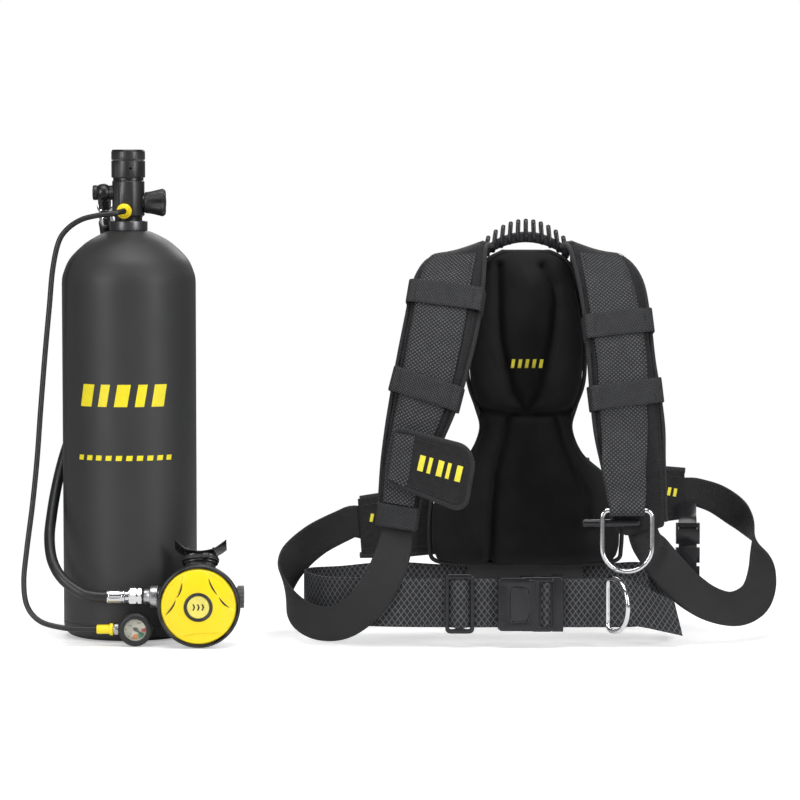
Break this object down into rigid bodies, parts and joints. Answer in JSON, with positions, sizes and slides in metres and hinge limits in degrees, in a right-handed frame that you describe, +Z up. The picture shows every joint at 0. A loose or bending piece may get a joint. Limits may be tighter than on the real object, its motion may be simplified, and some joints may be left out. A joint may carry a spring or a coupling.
{
  "type": "air pack",
  "caption": "Portable breathing-air pack: small air cylinder with valve, demand regulator, gauge and hoses, plus a padded carrying harness with waist belt and tank bands.",
  "frame": {"origin": "middle of the air cylinder's flat base, on the floor", "axes": "+Z up, -Y towards the front of the cylinder set and the wearer side of the harness, +X from the cylinder towards the harness"},
  "size_m": [0.7866, 0.3442, 0.5093],
  "materials": {
    "tank_coating": "satin charcoal coating",
    "dark_metal": "dark anodised, satin",
    "black_anodised": "black anodised, satin",
    "steel": "satin",
    "chrome": "polished",
    "rubber": "matte",
    "yellow_plastic": "semi-gloss yellow",
    "black_plastic": "satin black",
    "grey_plastic": "matte dark grey",
    "gauge_metal": "satin",
    "dial_face": "printed cream dial",
    "needle": "matte black",
    "clear": "clear lens",
    "pad_fabric": "smooth black padded fabric",
    "webbing": "black woven webbing with grey threads"
  },
  "bodies": {
    "cylinder_unit": {"cylinder": "tank_coating", "neck_collar": "dark_metal", "valve_body": "black_anodised", "regulator_head": "black_anodised", "burst_plug": "steel", "lp_banjo_bolt": "black_anodised", "lp_elbow": "black_anodised", "lp_hose": "rubber", "lp_hose_boot": "rubber", "lp_hose_crimps": "chrome", "gauge_line": "rubber", "gauge_line_nuts": "yellow_plastic", "gauge_nut": "steel", "piston_spring": "steel"},
    "knob": {"valve_knob": "black_anodised", "valve_stem": "steel"},
    "cap_seal": {"cap_washer": "rubber"},
    "cap": {"fill_cap": "black_anodised"},
    "piston": {"piston": "black_anodised"},
    "second_stage": {"stage_housing": "black_plastic", "inlet_barrel": "steel", "lp_swivel_nut": "chrome", "cover_ring": "black_plastic", "front_cover": "yellow_plastic", "purge_ring": "black_plastic", "purge_spring": "steel", "diaphragm": "rubber", "exhaust_cover": "black_plastic", "mouthpiece": "rubber", "mouthpiece_tie": "black_plastic"},
    "purge": {"purge_button": "yellow_plastic"},
    "diaphragm_centre": {"diaphragm_plate": "black_plastic"},
    "lever": {"demand_lever": "steel"},
    "poppet": {"poppet": "steel"},
    "adjuster": {"adjust_knob": "grey_plastic"},
    "gauge": {"gauge_case": "gauge_metal", "gauge_boot": "rubber", "gauge_dial": "dial_face", "gauge_lens": "clear"},
    "needle": {"gauge_needle": "needle"},
    "harness": {"back_plate": "black_plastic", "back_pad": "pad_fabric", "shoulder_pads": "pad_fabric", "shoulder_webbing": "webbing", "cross_bands": "webbing", "loop_straps": "webbing", "side_tabs": "pad_fabric", "side_buckle": "black_plastic", "waist_belt": "webbing", "buckle_female": "black_plastic", "tank_bands": "webbing", "cam_frame": "black_plastic", "ring_retainer": "black_plastic"},
    "keeper": {"hose_keeper": "pad_fabric"},
    "handle": {"carry_handle": "rubber"},
    "strap_ring": {"shoulder_d_ring": "chrome"},
    "belt_ring": {"belt_d_ring": "chrome"},
    "buckle_male": {"buckle_male": "black_plastic"},
    "slider": {"belt_slider": "black_plastic"},
    "cam_lever": {"cam_lever": "steel"}
  },
  "joints": [
    {"name": "valve_knob_turn", "type": "hinge", "parent": "cylinder_unit", "child": "knob", "pos_m": [0.03, 0, 0.4544], "axis": [1, 0, 0], "range_deg": [0, 540]},
    {"name": "fill_cap_lift", "type": "slide", "parent": "cylinder_unit", "child": "cap_seal", "axis": [0, 0, 1], "range_m": [0, 0.0045]},
    {"name": "fill_cap_turn", "type": "hinge", "parent": "cap_seal", "child": "cap", "pos_m": [0, 0, 0.504], "axis": [0, 0, 1], "range_deg": [0, 1080]},
    {"name": "piston_travel", "type": "slide", "parent": "cylinder_unit", "child": "piston", "axis": [0, 0, 1], "range_m": [0, 0.0012], "deforming": ["piston_spring"]},
    {"name": "second_stage_swivel", "type": "hinge", "parent": "cylinder_unit", "child": "second_stage", "pos_m": [0.02, -0.085, 0.05], "axis": [1, 0, 0], "range_deg": [-4, 10]},
    {"name": "purge_press", "type": "slide", "parent": "second_stage", "child": "purge", "axis": [0, 1, 0], "range_m": [0, 0.0035], "deforming": ["purge_spring"]},
    {"name": "diaphragm_travel", "type": "slide", "parent": "second_stage", "child": "diaphragm_centre", "axis": [0, 1, 0], "range_m": [0, 0.0035]},
    {"name": "demand_lever_tilt", "type": "hinge", "parent": "second_stage", "child": "lever", "pos_m": [0.0656, -0.0904, 0.05], "axis": [0, 0, 1], "range_deg": [0, 11]},
    {"name": "poppet_travel", "type": "slide", "parent": "second_stage", "child": "poppet", "axis": [1, 0, 0], "range_m": [0, 0.001]},
    {"name": "adjust_knob_turn", "type": "hinge", "parent": "second_stage", "child": "adjuster", "pos_m": [0.12, -0.085, 0.05], "axis": [1, 0, 0], "range_deg": [0, 270]},
    {"name": "gauge_swivel", "type": "hinge", "parent": "cylinder_unit", "child": "gauge", "pos_m": [0, -0.092, 0.01725], "axis": [1, 0, 0], "continuous": true},
    {"name": "gauge_needle_turn", "type": "hinge", "parent": "gauge", "child": "needle", "pos_m": [0.0122, -0.0936, 0.01725], "axis": [0, -1, 0], "range_deg": [0, 250]},
    {"name": "harness_set_apart", "type": "slide", "parent": "cylinder_unit", "child": "harness", "axis": [1, 0, 0], "range_m": [0, 0.15]},
    {"name": "carry_handle_fold", "type": "hinge", "parent": "harness", "child": "handle", "pos_m": [0.417, 0.039, 0.4], "axis": [-1, 0, 0], "range_deg": [0, 85]},
    {"name": "hose_keeper_open", "type": "hinge", "parent": "harness", "child": "keeper", "pos_m": [0.2756, -0.08915, 0.1974], "axis": [-0.1625, 0.0287, -0.9863], "range_deg": [0, 95]},
    {"name": "strap_ring_swing", "type": "hinge", "parent": "harness", "child": "strap_ring", "pos_m": [0.5165, -0.099, 0.1406], "axis": [-1, 0, 0], "range_deg": [0, 90]},
    {"name": "belt_ring_swing", "type": "hinge", "parent": "harness", "child": "belt_ring", "pos_m": [0.497, -0.1015, 0.045], "axis": [0, 0, 1], "range_deg": [-20, 60]},
    {"name": "buckle_release", "type": "slide", "parent": "harness", "child": "buckle_male", "axis": [1, 0, 0], "range_m": [0, 0.035]},
    {"name": "belt_slider_slide", "type": "slide", "parent": "harness", "child": "slider", "axis": [1, 0, 0], "range_m": [-0.01, 0.01]},
    {"name": "cam_lever_open", "type": "hinge", "parent": "harness", "child": "cam_lever", "pos_m": [0.439, 0.1962, 0.15], "axis": [0, 0, -1], "range_deg": [0, 110]}
  ],
  "couplings": [
    {"joint": "fill_cap_lift", "follows": "fill_cap_turn", "m_per_rad": 0.00023873},
    {"joint": "diaphragm_travel", "follows": "purge_press", "ratio": 1},
    {"joint": "demand_lever_tilt", "follows": "purge_press", "rad_per_m": 54},
    {"joint": "poppet_travel", "follows": "purge_press", "ratio": 0.2857}
  ]
}
